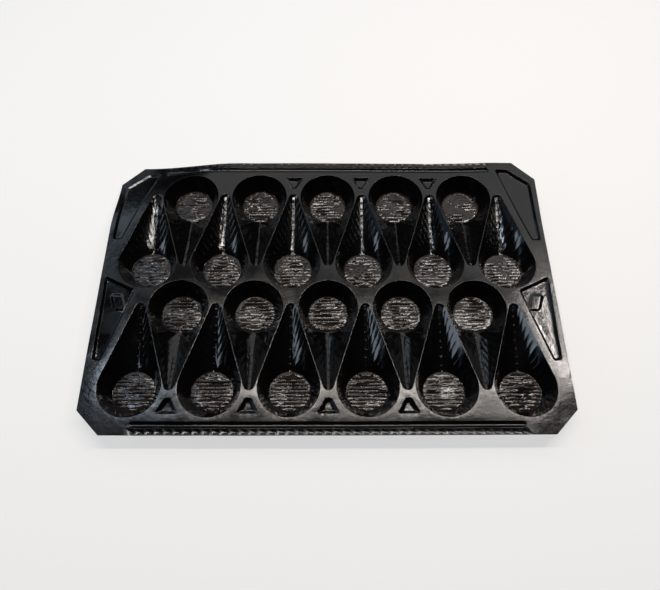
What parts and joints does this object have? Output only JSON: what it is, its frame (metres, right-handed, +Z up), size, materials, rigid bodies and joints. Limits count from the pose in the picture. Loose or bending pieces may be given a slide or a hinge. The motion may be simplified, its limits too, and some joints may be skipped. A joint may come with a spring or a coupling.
{
  "type": "fruit packing tray",
  "caption": "Thin black formed plastic tray with pear-shaped cups lying head to tail in a flat flanged sheet with cut corners, for one layer of pears in a carton.",
  "frame": {"origin": "middle of the plan, at the level of the underside of the cup floors", "axes": "+X to the right along the long side, +Y away from the viewer, +Z up out of the cups"},
  "size_m": [0.57, 0.38, 0.028],
  "materials": {
    "black_sheet": "glossy black formed sheet, satin on the flat land, finely wrinkled in the cup floors"
  },
  "bodies": {
    "root": {"tray": "black_sheet"}
  },
  "joints": []
}
